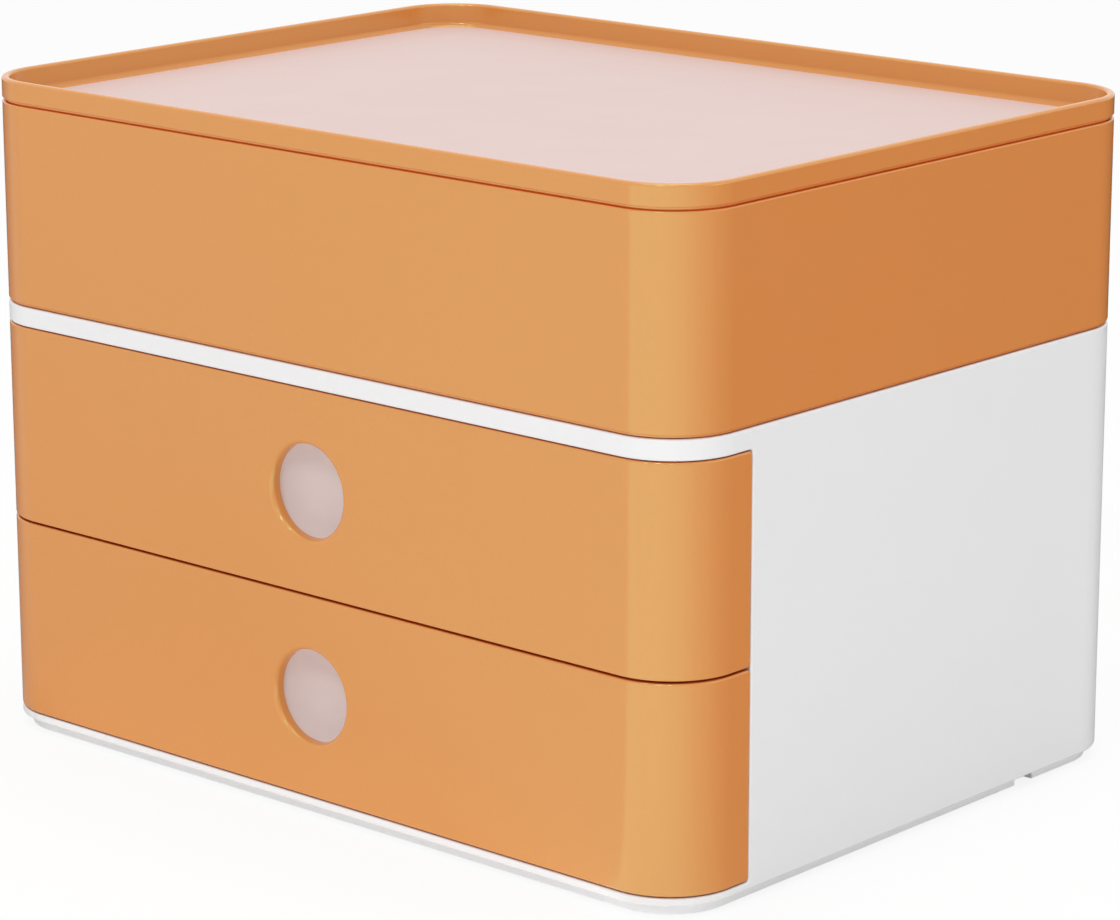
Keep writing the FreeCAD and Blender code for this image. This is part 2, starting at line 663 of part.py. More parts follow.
def writeParts(bodies):
    document.recompute()
    for item in document.Objects:
        if {"Invalid", "Error"} & set(item.State):
            raise RuntimeError(f"{item.Label} failed: {item.State}")
    for body in bodies:
        if body.Shape.isNull() or not body.Shape.isValid():
            raise RuntimeError(f"{body.Label} has no valid shape")
    os.makedirs("parts", exist_ok=True)
    for body in bodies:
        body.Shape.exportStep(f"parts/{body.Label}.step")
        print(body.Label, len(body.Shape.Solids), round(body.Shape.Volume / 1000, 2), "cm3")


pieces = [makeCasing(), makeShelf(), makeBasePlate()]
pieces += [makeFoot(label, centre) for label, centre in footCentres()]
for place in ("lower", "upper"):
    drawer = f"Places.{place}_drawer"
    pieces.append(makeDrawerFront(f"{place}_drawer_front", drawer))
    pieces.append(makeTray(f"{place}_drawer_tray", drawer))
    pieces.append(makeGripCup(f"{place}_grip_cup", drawer))
pieces += [makeOrganiserBox(), makeLid(), makeLiner()]
writeParts(pieces)
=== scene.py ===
import math

import bmesh
import bpy
from mathutils import Matrix, Vector


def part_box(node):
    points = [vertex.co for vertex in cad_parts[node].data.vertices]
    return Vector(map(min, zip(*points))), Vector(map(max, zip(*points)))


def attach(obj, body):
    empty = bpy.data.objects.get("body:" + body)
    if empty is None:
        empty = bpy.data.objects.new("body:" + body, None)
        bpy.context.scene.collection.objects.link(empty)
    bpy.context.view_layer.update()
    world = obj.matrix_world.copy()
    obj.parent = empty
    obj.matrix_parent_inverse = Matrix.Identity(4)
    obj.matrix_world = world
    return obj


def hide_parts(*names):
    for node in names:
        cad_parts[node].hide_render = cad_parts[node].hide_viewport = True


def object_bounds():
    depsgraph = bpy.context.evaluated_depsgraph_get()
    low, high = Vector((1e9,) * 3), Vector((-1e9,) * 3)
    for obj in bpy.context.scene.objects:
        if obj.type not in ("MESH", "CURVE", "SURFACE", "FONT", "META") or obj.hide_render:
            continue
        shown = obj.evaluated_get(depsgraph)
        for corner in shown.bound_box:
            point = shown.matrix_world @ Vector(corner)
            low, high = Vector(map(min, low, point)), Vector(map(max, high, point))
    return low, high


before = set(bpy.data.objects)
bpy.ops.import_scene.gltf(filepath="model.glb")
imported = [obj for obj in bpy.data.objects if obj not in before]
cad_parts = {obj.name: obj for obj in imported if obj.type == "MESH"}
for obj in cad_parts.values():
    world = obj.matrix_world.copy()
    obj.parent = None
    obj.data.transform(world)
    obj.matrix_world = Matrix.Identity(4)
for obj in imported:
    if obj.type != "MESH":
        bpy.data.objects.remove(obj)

cadLow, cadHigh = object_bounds()
print("frame loaded")

# Desktop drawer box: white casing, two orange drawers, orange organiser box and lid.
# Lengths are in metres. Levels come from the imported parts, the rest from the dictionaries.
mm = 0.001

# the rounded outline that every layer of the stack shares
outline = {
    "halfWidth": cadHigh.x,
    "halfDepth": cadHigh.y,
    "radius": 20 * mm,
    "cornerSteps": 28,
}

tiny = 0.01 * mm                    # how near a point must be to count as being at a place
mergeDistance = 0.002 * mm
straight = 0.9                      # how far a normal reaches along an axis that it follows
sharpAngle = math.radians(40)       # a fold beyond this is an edge to round
smoothAngle = math.radians(35)      # a fold below this is shaded smooth


# editing helpers

def selectOnly(piece):
    bpy.ops.object.select_all(action="DESELECT")
    piece.select_set(True)
    bpy.context.view_layer.objects.active = piece


def startBlock(name, low, high):
    # a box at its size and place, left in edit mode with the object at the origin
    bpy.ops.object.select_all(action="DESELECT")
    middle = [(a + b) / 2 for a, b in zip(low, high)]
    size = [b - a for a, b in zip(low, high)]
    bpy.ops.mesh.primitive_cube_add(size=1, location=middle, scale=size)
    piece = bpy.context.object
    piece.name = name
    bpy.ops.object.transform_apply(location=True, rotation=True, scale=True)
    bpy.ops.object.mode_set(mode="EDIT")
    return piece


def pickFaces(piece, wanted):
    bpy.ops.mesh.select_mode(type="FACE")
    bpy.ops.mesh.select_all(action="DESELECT")
    shape = bmesh.from_edit_mesh(piece.data)
    for face in shape.faces:
        face.select_set(wanted(face))
    bmesh.update_edit_mesh(piece.data)


def pickEdges(piece, wanted):
    bpy.ops.mesh.select_mode(type="EDGE")
    bpy.ops.mesh.select_all(action="DESELECT")
    shape = bmesh.from_edit_mesh(piece.data)
    for edge in shape.edges:
        if wanted(edge):
            edge.select_set(True)
    bmesh.update_edit_mesh(piece.data)


def extrudeBy(x=0.0, y=0.0, z=0.0):
    bpy.ops.mesh.extrude_region_move(TRANSFORM_OT_translate={"value": (x, y, z)})


def insetBy(thickness):
    bpy.ops.mesh.inset(thickness=thickness, depth=0, use_even_offset=True)


def roundPicked(radius, steps):
    bpy.ops.mesh.bevel(offset=radius, segments=steps, profile=0.5, affect="EDGES")


def isUpright(edge):
    a, b = edge.verts
    return math.hypot(a.co.x - b.co.x, a.co.y - b.co.y) < tiny


def atLevel(item, level):
    return all(abs(point.co.z - level) < tiny for point in item.verts)


def facesUp(face, level):
    return face.normal.z > straight and atLevel(face, level)


def facesDown(face, level):
    return face.normal.z < -straight and atLevel(face, level)


def insetOf(place):
    # how far inside the shared outline a point lies, seen from above
    x = abs(place.x) - outline["halfWidth"] + outline["radius"]
    y = abs(place.y) - outline["halfDepth"] + outline["radius"]
    return outline["radius"] - math.hypot(max(x, 0), max(y, 0)) - min(max(x, y), 0)


def onInset(edge, inset):
    return all(abs(insetOf(point.co) - inset) < tiny for point in edge.verts)


def isSharp(edge):
    return len(edge.link_faces) == 2 and edge.calc_face_angle(0) > sharpAngle


def finishPiece(piece, body, nodes, material):
    # closes the editing, smooths the shading and ties the piece to its body
    bpy.ops.mesh.select_all(action="SELECT")
    bpy.ops.mesh.remove_doubles(threshold=mergeDistance)
    bpy.ops.mesh.normals_make_consistent(inside=False)
    bpy.ops.object.mode_set(mode="OBJECT")
    selectOnly(piece)
    bpy.ops.object.shade_smooth_by_angle(angle=smoothAngle)
    weighted = piece.modifiers.new("faceWeights", "WEIGHTED_NORMAL")
    weighted.keep_sharp = True
    bpy.ops.object.modifier_apply(modifier=weighted.name)
    piece.data.materials.clear()
    piece.data.materials.append(material)
    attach(piece, body)
    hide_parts(*nodes)
    print("piece done:", piece.name, len(piece.data.polygons), "faces")


def addWall(piece, thickness, even=False):
    # gives an open skin its wall, on the side away from its normals
    wall = piece.modifiers.new("wall", "SOLIDIFY")
    wall.thickness = thickness
    wall.offset = -1
    wall.use_even_offset = even
    bpy.context.view_layer.objects.active = piece
    bpy.ops.object.modifier_apply(modifier=wall.name)


def cutWith(piece, cutter, operation="DIFFERENCE"):
    # cuts the finished cutter out of the piece, or joins it on, and removes it
    bpy.ops.object.mode_set(mode="OBJECT")
    selectOnly(piece)
    boolean = piece.modifiers.new("cut", "BOOLEAN")
    boolean.operation = operation
    boolean.solver = "EXACT"
    boolean.object = cutter
    bpy.ops.object.modifier_apply(modifier=boolean.name)
    bpy.data.objects.remove(cutter)
    bpy.ops.object.mode_set(mode="EDIT")


# finishes

def nodeGroup(name, inputs, outputs):
    group = bpy.data.node_groups.new(name, "ShaderNodeTree")
    for label, kind, value in inputs:
        socket = group.interface.new_socket(label, in_out="INPUT", socket_type=kind)
        if value is not None:
            socket.default_value = value
    for label, kind in outputs:
        group.interface.new_socket(label, in_out="OUTPUT", socket_type=kind)
    start = group.nodes.new("NodeGroupInput")
    end = group.nodes.new("NodeGroupOutput")
    return group, start, end


def addNode(tree, kind, **settings):
    node = tree.nodes.new(kind)
    for key, value in settings.items():
        setattr(node, key, value)
    return node


def mapRange(tree, source, limits, result=(0.0, 1.0)):
    # spreads what lies between the limits over the result
    node = addNode(tree, "ShaderNodeMapRange")
    node.inputs["From Min"].default_value, node.inputs["From Max"].default_value = limits
    node.inputs["To Min"].default_value, node.inputs["To Max"].default_value = result
    tree.links.new(source, node.inputs["Value"])
    return node.outputs["Result"]


# every size of a noise counts its waves in a metre, so a larger one is finer
mould = {
    "waveDetail": 1.0, "waveRoughness": 0.35, "grainDetail": 3.0,
    "smudgeSize": 33.0, "smudgeDetail": 4.0,
    "toneRange": (0.35, 0.65),      # part of the noise that runs from the dark to the light tone
    "glossRange": (0.3, 0.7),
    # painted shade: the range below runs from the full gap shade tone where closed to none
    "narrowRange": (0.15, 0.85),    # openness from the full seam tone to none of it
    "narrowSamples": 6,
}
colourA, colourB, colourOut = 6, 7, 2       # sockets of a Mix node that is set to colour


def makeMouldGroup():
    # the slight unevenness of moulded plastic: wide flow waves, fine grain and a few specks
    group, start, end = nodeGroup(
        "mouldedSkin",
        [("Place", "NodeSocketVector", None), ("Wave Size", "NodeSocketFloat", 14.0),
         ("Wave Height", "NodeSocketFloat", 1.0), ("Grain Size", "NodeSocketFloat", 900.0),
         ("Grain Height", "NodeSocketFloat", 0.1)],
        [("Tone", "NodeSocketFloat"), ("Gloss", "NodeSocketFloat"), ("Height", "NodeSocketFloat")])
    wide = addNode(group, "ShaderNodeTexNoise")
    wide.inputs["Detail"].default_value = mould["waveDetail"]
    wide.inputs["Roughness"].default_value = mould["waveRoughness"]
    fine = addNode(group, "ShaderNodeTexNoise")
    fine.inputs["Detail"].default_value = mould["grainDetail"]
    smudge = addNode(group, "ShaderNodeTexNoise")
    smudge.inputs["Scale"].default_value = mould["smudgeSize"]
    smudge.inputs["Detail"].default_value = mould["smudgeDetail"]
    link = group.links.new
    for texture in (wide, fine, smudge):
        link(start.outputs["Place"], texture.inputs["Vector"])
    link(start.outputs["Wave Size"], wide.inputs["Scale"])
    link(start.outputs["Grain Size"], fine.inputs["Scale"])
    waves = addNode(group, "ShaderNodeMath", operation="MULTIPLY")
    link(wide.outputs["Fac"], waves.inputs[0])
    link(start.outputs["Wave Height"], waves.inputs[1])
    grain = addNode(group, "ShaderNodeMath", operation="MULTIPLY")
    link(fine.outputs["Fac"], grain.inputs[0])
    link(start.outputs["Grain Height"], grain.inputs[1])
    height = addNode(group, "ShaderNodeMath", operation="ADD")
    link(waves.outputs[0], height.inputs[0])
    link(grain.outputs[0], height.inputs[1])
    tone = addNode(group, "ShaderNodeMath", operation="ADD")
    link(wide.outputs["Fac"], tone.inputs[0])
    link(fine.outputs["Fac"], tone.inputs[1])
    half = addNode(group, "ShaderNodeMath", operation="MULTIPLY")
    half.inputs[1].default_value = 0.5
    link(tone.outputs[0], half.inputs[0])
    link(half.outputs[0], end.inputs["Tone"])
    link(smudge.outputs["Fac"], end.inputs["Gloss"])
    link(height.outputs[0], end.inputs["Height"])
    return group


mouldedSkin = makeMouldGroup()


def plasticMaterial(name, look):
    # a moulded plastic: two near tones, a deeper tone painted into narrow gaps as shade, gloss
    # that varies a little, and a faint relief
    material = bpy.data.materials.new(name)
    material.use_nodes = True
    tree = material.node_tree
    shader = tree.nodes["Principled BSDF"]
    shader.inputs["IOR"].default_value = look["ior"]
    shader.inputs["Metallic"].default_value = 0.0
    link = tree.links.new
    place = addNode(tree, "ShaderNodeTexCoord")
    skin = addNode(tree, "ShaderNodeGroup")
    skin.node_tree = mouldedSkin
    skin.inputs["Wave Size"].default_value = look["waveSize"]
    skin.inputs["Wave Height"].default_value = look["waveHeight"]
    skin.inputs["Grain Size"].default_value = look["grainSize"]
    skin.inputs["Grain Height"].default_value = look["grainHeight"]
    link(place.outputs["Object"], skin.inputs["Place"])
    tones = addNode(tree, "ShaderNodeMix", data_type="RGBA")
    tones.inputs[colourA].default_value = (*look["darkTone"], 1)
    tones.inputs[colourB].default_value = (*look["lightTone"], 1)
    link(mapRange(tree, skin.outputs["Tone"], mould["toneRange"]), tones.inputs["Factor"])
    # painted shade and painted bounce light: where two pieces nearly meet, ambient occlusion
    # pulls the colour towards a darker tone, for most finishes a warmer one
    narrow = addNode(tree, "ShaderNodeAmbientOcclusion", samples=mould["narrowSamples"])
    narrow.inputs["Distance"].default_value = look["gapShadeReach"]
    gapShading = addNode(tree, "ShaderNodeMix", data_type="RGBA")
    gapShading.inputs[colourA].default_value = (*look["gapShadeTone"], 1)
    link(mapRange(tree, narrow.outputs["AO"], mould["narrowRange"]), gapShading.inputs["Factor"])
    link(tones.outputs[colourOut], gapShading.inputs[colourB])
    link(gapShading.outputs[colourOut], shader.inputs["Base Color"])
    shader.inputs["Specular Tint"].default_value = (*look["glossTint"], 1)
    link(mapRange(tree, skin.outputs["Gloss"], mould["glossRange"], look["roughness"]),
         shader.inputs["Roughness"])
    bump = addNode(tree, "ShaderNodeBump")
    bump.inputs["Strength"].default_value = look["relief"]
    bump.inputs["Distance"].default_value = look["reliefDepth"]
    link(skin.outputs["Height"], bump.inputs["Height"])
    link(bump.outputs["Normal"], shader.inputs["Normal"])
    return material


# in each look the gap shade tone and its reach set the shade painted into narrow gaps
# a tint below 1 holds that colour back in the gloss
orangeLook = {
    "darkTone": (0.703, 0.252, 0.068), "lightTone": (0.717, 0.260, 0.072),
    "gapShadeTone": (0.95, 0.16, 0.020), "gapShadeReach": 2.0 * mm, "glossTint": (0.40, 1.0, 0.50),
    "roughness": (0.10, 0.15), "ior": 1.8,      # more gloss than 1.5, so a dim card is enough
    "waveSize": 9.0, "waveHeight": 1.0, "grainSize": 1400.0, "grainHeight": 0.02,
    "relief": 0.25, "reliefDepth": 0.1 * mm,
}
# painted shade: darker and reaching further in the gap between the drawers than where the
# box and lid meet
frontLook = {**orangeLook, "gapShadeTone": (0.62, 0.09, 0.012), "gapShadeReach": 2.5 * mm}
whiteLook = {
    "darkTone": (0.800, 0.800, 0.806), "lightTone": (0.815, 0.815, 0.820),
    "gapShadeTone": (0.76, 0.69, 0.65), "gapShadeReach": 2.0 * mm, "glossTint": (1.0, 1.0, 1.0),
    "roughness": (0.30, 0.36), "ior": 1.5,
    "waveSize": 7.0, "waveHeight": 1.0, "grainSize": 1700.0, "grainHeight": 0.01,
    "relief": 0.2, "reliefDepth": 0.1 * mm,
}
# painted light: paler than the casing, to make up for the little light that gets in under
# it, and with next to no painted gap shade
plinthLitLook = {
    **whiteLook, "darkTone": (0.880, 0.880, 0.885), "lightTone": (0.895, 0.895, 0.900),
    "gapShadeTone": (0.88, 0.88, 0.88),
}
# the cup is white plastic: its pink tint is painted orange light bounced into the dish, and its
# tone below the casing white is painted shade of the dish
cupLook = {
    "darkTone": (0.730, 0.628, 0.612), "lightTone": (0.745, 0.643, 0.627),
    "gapShadeTone": (0.60, 0.40, 0.33), "gapShadeReach": 1.5 * mm, "glossTint": (1.0, 1.0, 1.0),
    "roughness": (0.50, 0.56), "ior": 1.5,
    "waveSize": 30.0, "waveHeight": 0.3, "grainSize": 2500.0, "grainHeight": 0.08,
    "relief": 0.25, "reliefDepth": 0.1 * mm,
}
linerLook = {
    "darkTone": (0.665, 0.510, 0.480), "lightTone": (0.680, 0.525, 0.495),
    "gapShadeTone": (0.66, 0.44, 0.37), "gapShadeReach": 1.0 * mm, "glossTint": (1.0, 1.0, 1.0),
    "roughness": (0.45, 0.55), "ior": 1.35,
    "waveSize": 8.0, "waveHeight": 0.6, "grainSize": 1800.0, "grainHeight": 0.05,
    "relief": 0.2, "reliefDepth": 0.1 * mm,
}
rubberLook = {
    "darkTone": (0.30, 0.30, 0.31), "lightTone": (0.36, 0.36, 0.37),
    "gapShadeTone": (0.22, 0.22, 0.23), "gapShadeReach": 1.0 * mm, "glossTint": (1.0, 1.0, 1.0),
    "roughness": (0.60, 0.72), "ior": 1.5,
    "waveSize": 60.0, "waveHeight": 0.2, "grainSize": 2600.0, "grainHeight": 0.5,
    "relief": 0.5, "reliefDepth": 0.1 * mm,
}

orange = plasticMaterial("glossyOrange", orangeLook)
frontOrange = plasticMaterial("frontOrange", frontLook)
white = plasticMaterial("casingWhite", whiteLook)
# the plinth finish is the casing white painted lighter
plinthLitWhite = plasticMaterial("plinthLitWhite", plinthLitLook)
cupWhite = plasticMaterial("cupWhite", cupLook)
pale = plasticMaterial("linerPale", linerLook)
rubber = plasticMaterial("footRubber", rubberLook)
print("finishes ready")


# organiser box

boxShape = {
    "stepIn": 0.55 * mm, "stepHeight": 0.7 * mm, "stepRound": 0.15 * mm,
    "lipWall": 1.0 * mm, "ledgeDepth": 3.0 * mm, "wall": 2.2 * mm, "floor": 2.0 * mm,
    "ringInset": 3.0 * mm, "ringWall": 2.0 * mm, "ringDrop": 2.4 * mm,
    "lipRound": 0.45 * mm, "floorRound": 3.0 * mm,
    "stepSteps": 3, "lipSteps": 4, "floorSteps": 8,
}


def steppedBlock(name, bottom, top, shape):
    # block on the outline whose lowest part is drawn in by a small step, open for more edits
    half, deep = outline["halfWidth"], outline["halfDepth"]
    step = bottom + shape["stepHeight"]
    piece = startBlock(name, (-half, -deep, step), (half, deep, top))
    pickEdges(piece, isUpright)
    roundPicked(outline["radius"], outline["cornerSteps"])
    pickFaces(piece, lambda face: facesDown(face, step))
    insetBy(shape["stepIn"])
    extrudeBy(z=-shape["stepHeight"])
    return piece


def roundSeam(piece, bottom, shape):
    step = bottom + shape["stepHeight"]
    pickEdges(piece, lambda edge: (atLevel(edge, step) and onInset(edge, 0))
              or (atLevel(edge, bottom) and onInset(edge, shape["stepIn"])))
    roundPicked(shape["stepRound"], shape["stepSteps"])


def makeBox():
    low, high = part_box("organiser_box")
    bottom, top = low.z + boxShape["ringDrop"], high.z
    piece = steppedBlock("organiserBox", bottom, top, boxShape)
    insetBy(boxShape["ringInset"] - boxShape["stepIn"])     # ring that locates the box
    extrudeBy(z=-boxShape["ringDrop"])
    insetBy(boxShape["ringWall"])
    extrudeBy(z=boxShape["ringDrop"])
    pickFaces(piece, lambda face: facesUp(face, top))       # lip, ledge and inside
    insetBy(boxShape["lipWall"])
    extrudeBy(z=-boxShape["ledgeDepth"])
    insetBy(boxShape["wall"] - boxShape["lipWall"])
    floor = bottom + boxShape["floor"]
    extrudeBy(z=floor - top + boxShape["ledgeDepth"])
    pickEdges(piece, lambda edge: atLevel(edge, floor) and onInset(edge, boxShape["wall"]))
    roundPicked(boxShape["floorRound"], boxShape["floorSteps"])
    pickEdges(piece, lambda edge: atLevel(edge, top) and isSharp(edge))
    roundPicked(boxShape["lipRound"], boxShape["lipSteps"])
    roundSeam(piece, bottom, boxShape)
    finishPiece(piece, "organiser_box", ["organiser_box"], orange)


makeBox()


# lid and its liner

lidShape = {
    "stepIn": 0.55 * mm, "stepHeight": 0.7 * mm, "stepRound": 0.15 * mm,
    "plate": 3.35 * mm, "skirtInset": 1.25 * mm, "rimWall": 2.2 * mm, "floor": 2.3 * mm,
    "rimRound": 0.8 * mm, "insideRound": 2.0 * mm, "skirtRound": 0.3 * mm,
    "stepSteps": 3, "skirtSteps": 3, "rimSteps": 6, "insideSteps": 8,
}
linerShape = {"inset": 4.5 * mm, "edgeRound": 0.2 * mm, "edgeSteps": 3}


def makeLid():
    low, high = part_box("lid")
    bottom, top = low.z + lidShape["plate"], high.z
    piece = steppedBlock("trayLid", bottom, top, lidShape)
    insetBy(lidShape["skirtInset"] - lidShape["stepIn"])
    extrudeBy(z=-lidShape["plate"])
    pickFaces(piece, lambda face: facesUp(face, top))
    insetBy(lidShape["rimWall"])
    floor = low.z + lidShape["floor"]
    extrudeBy(z=floor - top)
    pickEdges(piece, lambda edge: atLevel(edge, floor) and onInset(edge, lidShape["rimWall"]))
    roundPicked(lidShape["insideRound"], lidShape["insideSteps"])
    pickEdges(piece, lambda edge: atLevel(edge, top) and isSharp(edge))
    roundPicked(lidShape["rimRound"], lidShape["rimSteps"])
    pickEdges(piece, lambda edge: atLevel(edge, low.z) and isSharp(edge))
    roundPicked(lidShape["skirtRound"], lidShape["skirtSteps"])
    roundSeam(piece, bottom, lidShape)
    finishPiece(piece, "lid", ["lid"], orange)


def makeLiner():
    low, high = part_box("lid_liner")
    piece = startBlock("lidLiner", low, high)
    pickEdges(piece, isUpright)
    roundPicked(outline["radius"] - linerShape["inset"], outline["cornerSteps"])
    pickEdges(piece, lambda edge: atLevel(edge, high.z))
    roundPicked(linerShape["edgeRound"], linerShape["edgeSteps"])
    finishPiece(piece, "lid", ["lid_liner"], pale)


makeLid()
makeLiner()


# drawer fronts

frontShape = {
    "wall": 3.0 * mm, "wingRear": 27.7 * mm, "wingRound": 1.2 * mm, "edgeRound": 0.6 * mm,
    "gripRadius": 13.0 * mm, "gripRound": 1.5 * mm, "gripSides": 96, "cutterDepth": 12.0 * mm,
    "wingSteps": 6, "edgeSteps": 4, "gripSteps": 6,
    "hookPlace": 75 * mm, "hookWidth": 8 * mm, "hookThickness": 2 * mm,
    "barb": 0.8 * mm, "barbLength": 1.6 * mm, "trayWall": 1.8 * mm, "hookPlay": 0.15 * mm,
}


def makeFront(place):
    low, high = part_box(f"{place}_drawer_front")
    wingRear = low.y + frontShape["wingRear"]
    gripLevel = (low.z + high.z) / 2
    piece = startBlock(f"{place}DrawerFront", low, (high.x, wingRear, high.z))
    pickEdges(piece, lambda edge: isUpright(edge) and edge.verts[0].co.y < low.y + tiny)
    roundPicked(outline["radius"], outline["cornerSteps"])
    pickFaces(piece, lambda face: face.normal.y > straight or abs(face.normal.z) > straight)
    bpy.ops.mesh.delete(type="FACE")                # leaves the skin that wraps both corners
    bpy.ops.object.mode_set(mode="OBJECT")
    addWall(piece, frontShape["wall"], even=True)
    bpy.ops.object.mode_set(mode="EDIT")

    def atWingEnd(edge):
        return all(abs(point.co.y - wingRear) < tiny for point in edge.verts)

    pickEdges(piece, lambda edge: atWingEnd(edge)
              and (atLevel(edge, low.z) or atLevel(edge, high.z)))
    roundPicked(frontShape["wingRound"], frontShape["wingSteps"])
    pickEdges(piece, lambda edge: isSharp(edge) and onInset(edge, 0))
    roundPicked(frontShape["edgeRound"], frontShape["edgeSteps"])

    bpy.ops.object.mode_set(mode="OBJECT")
    bpy.ops.object.select_all(action="DESELECT")
    bpy.ops.mesh.primitive_cylinder_add(
        vertices=frontShape["gripSides"], radius=frontShape["gripRadius"],
        depth=frontShape["cutterDepth"], location=(0, low.y, gripLevel),
        rotation=(math.pi / 2, 0, 0))
    cutWith(piece, bpy.context.object)

    def onGripEdge(point):
        radius = math.hypot(point.co.x, point.co.z - gripLevel)
        return abs(point.co.y - low.y) < tiny and abs(radius - frontShape["gripRadius"]) < tiny

    pickEdges(piece, lambda edge: all(onGripEdge(point) for point in edge.verts)
              and isSharp(edge))
    roundPicked(frontShape["gripRound"], frontShape["gripSteps"])
    for side in (-1, 1):
        addHook(piece, side * frontShape["hookPlace"], low.y + frontShape["wall"], gripLevel)
    finishPiece(piece, f"{place}_drawer", [f"{place}_drawer_front"], frontOrange)


def addHook(front, across, behind, level):
    # tongue behind the front, with a barb that catches behind the tray's front wall
    half = frontShape["hookWidth"] / 2
    thick = frontShape["hookThickness"]
    barbFront = behind + frontShape["trayWall"] + frontShape["hookPlay"]
    barbRear = barbFront + frontShape["barbLength"]
    bpy.ops.object.mode_set(mode="OBJECT")
    hook = startBlock("hook", (across - half, behind - frontShape["wall"] / 2, level - thick / 2),
                      (across + half, barbRear, level + thick / 2))
    bpy.ops.mesh.select_all(action="SELECT")
    bpy.ops.mesh.bisect(plane_co=(0, barbFront, 0), plane_no=(0, 1, 0))
    pickFaces(hook, lambda face: facesUp(face, level + thick / 2)
              and face.calc_center_median().y > barbFront)
    extrudeBy(z=frontShape["barb"])
    cutWith(front, hook, "UNION")


makeFront("lower")
makeFront("upper")


# grip cups

cupShape = {
    "radius": 13.7 * mm, "depth": 11.5 * mm, "wall": 1.5 * mm,
    "flange": 2.3 * mm, "flangeThickness": 1.5 * mm, "trayWall": 1.8 * mm,
    "rounds": 72, "rings": 60,
    "spare": 1.0 * mm,      # skin kept ahead of the rim, and cut off once the wall is on
}


def makeCup(place):
    low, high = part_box(f"{place}_grip_cup")
    level = (low.z + high.z) / 2
    front = low.y
    ball = (cupShape["radius"] ** 2 + cupShape["depth"] ** 2) / (2 * cupShape["depth"])
    centre = front + cupShape["depth"] - ball
    bpy.ops.object.select_all(action="DESELECT")
    bpy.ops.mesh.primitive_uv_sphere_add(
        segments=cupShape["rounds"], ring_count=cupShape["rings"], radius=ball,
        location=(0, centre, level), rotation=(math.pi / 2, 0, 0))
    piece = bpy.context.object
    piece.name = f"{place}GripCup"
    bpy.ops.object.transform_apply(location=True, rotation=True, scale=True)
    bpy.ops.object.mode_set(mode="EDIT")
    bpy.ops.mesh.select_all(action="SELECT")
    bpy.ops.mesh.bisect(plane_co=(0, front - cupShape["spare"], 0), plane_no=(0, 1, 0),
                        clear_inner=True)
    bpy.ops.mesh.select_all(action="SELECT")
    bpy.ops.mesh.flip_normals()                     # the dish is seen from inside the ball
    bpy.ops.object.mode_set(mode="OBJECT")
    addWall(piece, cupShape["wall"])
    bpy.ops.object.mode_set(mode="EDIT")
    bpy.ops.mesh.select_all(action="SELECT")
    bpy.ops.mesh.bisect(plane_co=(0, front, 0), plane_no=(0, 1, 0),
                        clear_inner=True, use_fill=True)
    flangeFront = front + cupShape["trayWall"]
    flangeRear = flangeFront + cupShape["flangeThickness"]

    def behindWall(face):
        away = face.calc_center_median() - Vector((0, centre, level))
        return face.normal.dot(away) > 0

    for cut in (flangeFront, flangeRear):
        pickFaces(piece, behindWall)
        bpy.ops.mesh.bisect(plane_co=(0, cut, 0), plane_no=(0, 1, 0))
    pickFaces(piece, lambda face: behindWall(face)
              and flangeFront < face.calc_center_median().y < flangeRear
              and abs(face.normal.y) < straight)
    bpy.ops.mesh.extrude_region_move(TRANSFORM_OT_translate={"value": (0, 0, 0)})
    shape = bmesh.from_edit_mesh(piece.data)
    rim = cupShape["radius"] + cupShape["wall"] + cupShape["flange"]
    for point in shape.verts:
        if point.select:
            out = Vector((point.co.x, 0, point.co.z - level)).normalized() * rim
            point.co.x, point.co.z = out.x, level + out.z
    bmesh.update_edit_mesh(piece.data)
    finishPiece(piece, f"{place}_drawer", [f"{place}_grip_cup"], cupWhite)


makeCup("lower")
makeCup("upper")


# pieces that keep their own solids

keptFinishes = {
    "casing": white, "drawer_shelf": white, "base_plate": plinthLitWhite,
    "lower_drawer_tray": white, "upper_drawer_tray": white,
    "foot_front_left": rubber, "foot_front_right": rubber,
    "foot_rear_left": rubber, "foot_rear_right": rubber,
}
for name, material in keptFinishes.items():
    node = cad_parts[name]
    node.data.materials.clear()
    node.data.materials.append(material)
print("kept parts finished")


# studio

view = {
    "azimuth": 41.825,      # from the front towards the right side
    "elevation": 14.473,
    "roll": -0.079,
    "lens": 136.2,
    "sensor": 36.0,
    "clipStart": 0.01,
    "clipEnd": 50.0,
    "place": (0.7750, -0.8625, 0.3805),
}
studio = {
    "worldStrength": 0.75,      # soft light from all round, on the object
    "floorColour": (0.92, 0.92, 0.92),
    "floorRoughness": 0.9,
    "floorSize": 20.0,
    "floorLift": 0.85,          # how much of the floor is seen as plain white
    "lamps": {
        # name: turn from the front, height angle, distance, size, strength in watts
        "keySmall": (22, 38, 2.2, 0.35, 6.0),
        "topSoft": (0, 88, 2.0, 1.5, 14.0),
        "frontLow": (-5, 8, 2.2, 1.0, 1.9),
        "rightLow": (104, 7, 2.0, 0.9, 3.2),
    },
    "glints": {
        # lamps that only the gloss shows, with their numbers in the same order
        "glintLong": (41, 30, 2.2, 0.10, 3.0),
        "glintShort": (-3, 50, 2.2, 0.08, 3.0),
    },
    "aim": (0, 0, 0.08),
    # card laid round the front right corner for the gloss to reflect
    "cardCentre": (0.110, -0.0775),
    "cardReach": 2.5,
    "cardHeight": 0.0004,
    "cardStep": 4,              # degrees from one edge point of the card to the next
    # brightness by turn from the front, towards the right side
    "cardGlow": (
        (-90, 0.30), (-78, 0.74), (-62, 0.82), (-51, 1.0), (-44, 1.08), (-26, 1.2),
        (-20, 1.9), (22, 1.9), (50, 1.65), (78, 0.95), (108, 0.3), (138, 0.02),
        (190, 0.02), (215, 0.10), (250, 0.12), (270, 0.30),
    ),
    # light thrown up by the floor close to the front
    "bounce": {
        "middle": (0, -0.1125, 0.001), "width": 0.22, "depth": 0.03, "strength": 0.0075,
    },
}


